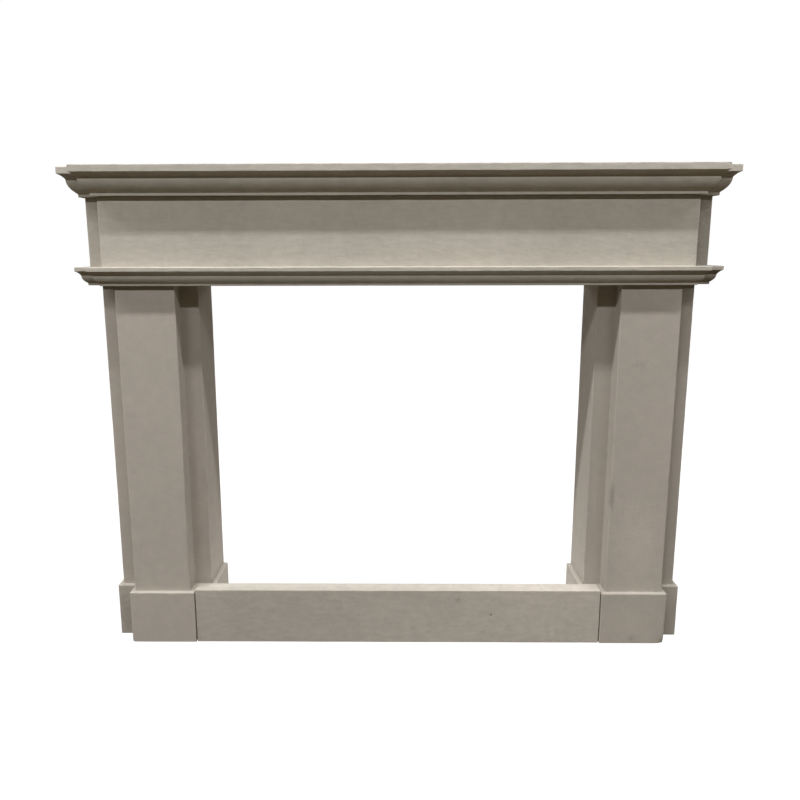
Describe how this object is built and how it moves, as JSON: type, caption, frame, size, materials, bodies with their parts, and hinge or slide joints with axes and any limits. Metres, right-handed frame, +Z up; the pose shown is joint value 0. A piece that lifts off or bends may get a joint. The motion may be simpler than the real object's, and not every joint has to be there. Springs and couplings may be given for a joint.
{
  "type": "fireplace mantelpiece",
  "caption": "Plain cast-stone fireplace surround with a stepped breakfront plan: pilaster legs on plinths, floor bar, frieze with a small ledge moulding, and a shelf on a crown moulding.",
  "frame": {"origin": "on the floor, under the middle of the overall width and depth of the shelf", "axes": "+X along the shelf to the right as seen from the room, +Y back to the wall, +Z up"},
  "size_m": [1.7856, 0.2648, 1.3419],
  "materials": {
    "leg_stone": "matt warm grey cast stone, fine grain and small pinholes",
    "bar_stone": "matt warm grey cast stone, fine grain and small pinholes",
    "header_stone": "matt warm grey cast stone, fine grain and small pinholes",
    "shelf_stone": "matt warm grey cast stone, fine grain and small pinholes"
  },
  "bodies": {
    "root": {"left_leg": "leg_stone", "right_leg": "leg_stone", "base_bar": "bar_stone", "header": "header_stone", "shelf": "shelf_stone"}
  },
  "joints": []
}
